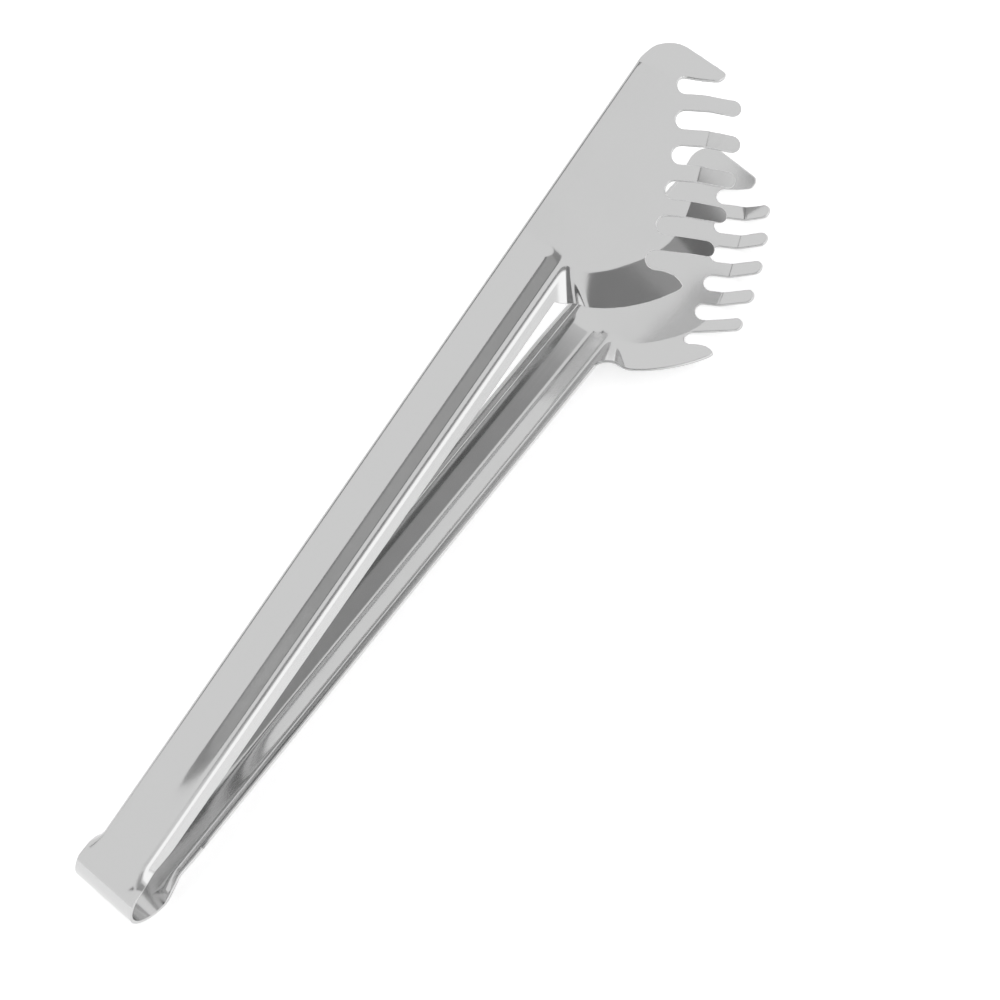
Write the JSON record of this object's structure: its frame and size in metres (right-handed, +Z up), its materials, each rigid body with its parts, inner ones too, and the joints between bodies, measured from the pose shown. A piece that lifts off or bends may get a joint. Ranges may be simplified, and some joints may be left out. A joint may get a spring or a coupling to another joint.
{
  "type": "spaghetti tongs",
  "caption": "Spring tongs pressed from polished stainless strip: channelled arms joined by a round bow, ending in slotted combs with bent-in fingers that grip spaghetti.",
  "frame": {"origin": "middle of the footprint, on the surface that the lower arm lies on", "axes": "+X along the lower arm from the bow to the nose, the teeth point to -Y, +Z up from the lower arm to the upper one"},
  "size_m": [0.2526, 0.0438, 0.0736],
  "materials": {
    "polished_steel": "bright polished stainless steel sheet"
  },
  "bodies": {
    "lower_arm": {"lower_bow_half": "polished_steel", "lower_handle": "polished_steel", "lower_comb_plate": "polished_steel", "lower_hook_tooth": "polished_steel", "lower_pointed_tooth": "polished_steel", "lower_finger_1": "polished_steel", "lower_finger_2": "polished_steel", "lower_finger_3": "polished_steel", "lower_finger_4": "polished_steel", "lower_finger_5": "polished_steel"},
    "upper_arm": {"upper_bow_half": "polished_steel", "upper_handle": "polished_steel", "upper_comb_plate": "polished_steel", "upper_hook_tooth": "polished_steel", "upper_pointed_tooth": "polished_steel", "upper_finger_1": "polished_steel", "upper_finger_2": "polished_steel", "upper_finger_3": "polished_steel", "upper_finger_4": "polished_steel", "upper_finger_5": "polished_steel"}
  },
  "joints": [
    {"name": "squeeze", "type": "hinge", "parent": "lower_arm", "child": "upper_arm", "pos_m": [-0.11561, 0.0115, 0.0107], "axis": [0, 1, 0], "range_deg": [0, 15], "stiffness_Nm_per_rad": 4.5, "springref_deg": -0.52}
  ]
}
